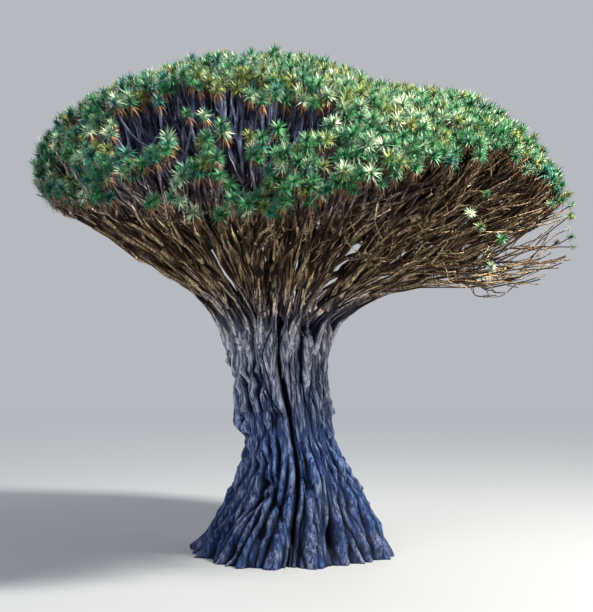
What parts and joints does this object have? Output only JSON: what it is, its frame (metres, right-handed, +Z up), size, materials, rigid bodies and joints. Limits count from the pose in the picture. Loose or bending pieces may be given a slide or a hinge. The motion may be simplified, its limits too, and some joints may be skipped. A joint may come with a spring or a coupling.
{
  "type": "dragon blood tree",
  "caption": "Old rooted dragon blood tree with a fluted, flared trunk, boughs fanning from its head and a broad umbrella crown of sword-leaf tufts, bare under its right rim.",
  "frame": {"origin": "middle of the flat cut under the root flare, at ground level", "axes": "+Z up along the trunk, +X to the viewer's right and +Y away from the viewer of the picture"},
  "size_m": [18.476, 18.6041, 17.0638],
  "materials": {
    "trunk_bark": "matt, fluted bark",
    "limb_bark": "matt, ringed bark",
    "foliage": "leathery leaves, slight sheen"
  },
  "bodies": {
    "root": {"trunk": "trunk_bark", "bough_rim_1": "limb_bark", "foliage_rim_1": "foliage", "bough_rim_2": "limb_bark", "foliage_rim_2": "foliage", "bough_rim_3": "limb_bark", "foliage_rim_3": "foliage", "bough_rim_4": "limb_bark", "foliage_rim_4": "foliage", "bough_rim_5": "limb_bark", "foliage_rim_5": "foliage", "bough_rim_6": "limb_bark", "foliage_rim_6": "foliage", "bough_rim_7": "limb_bark", "foliage_rim_7": "foliage", "bough_rim_8": "limb_bark", "foliage_rim_8": "foliage", "bough_rim_9": "limb_bark", "foliage_rim_9": "foliage", "bough_rim_10": "limb_bark", "foliage_rim_10": "foliage", "bough_rim_11": "limb_bark", "foliage_rim_11": "foliage", "bough_rim_12": "limb_bark", "foliage_rim_12": "foliage", "bough_shoulder_1": "limb_bark", "foliage_shoulder_1": "foliage", "bough_shoulder_2": "limb_bark", "foliage_shoulder_2": "foliage", "bough_shoulder_3": "limb_bark", "foliage_shoulder_3": "foliage", "bough_shoulder_4": "limb_bark", "foliage_shoulder_4": "foliage", "bough_shoulder_5": "limb_bark", "foliage_shoulder_5": "foliage", "bough_shoulder_6": "limb_bark", "foliage_shoulder_6": "foliage", "bough_shoulder_7": "limb_bark", "foliage_shoulder_7": "foliage", "bough_shoulder_8": "limb_bark", "foliage_shoulder_8": "foliage", "bough_shoulder_9": "limb_bark", "foliage_shoulder_9": "foliage", "bough_shoulder_10": "limb_bark", "foliage_shoulder_10": "foliage", "bough_high_1": "limb_bark", "foliage_high_1": "foliage", "bough_high_2": "limb_bark", "foliage_high_2": "foliage", "bough_high_3": "limb_bark", "foliage_high_3": "foliage", "bough_high_4": "limb_bark", "foliage_high_4": "foliage", "bough_high_5": "limb_bark", "foliage_high_5": "foliage", "bough_high_6": "limb_bark", "foliage_high_6": "foliage", "bough_top_1": "limb_bark", "foliage_top_1": "foliage"}
  },
  "joints": []
}
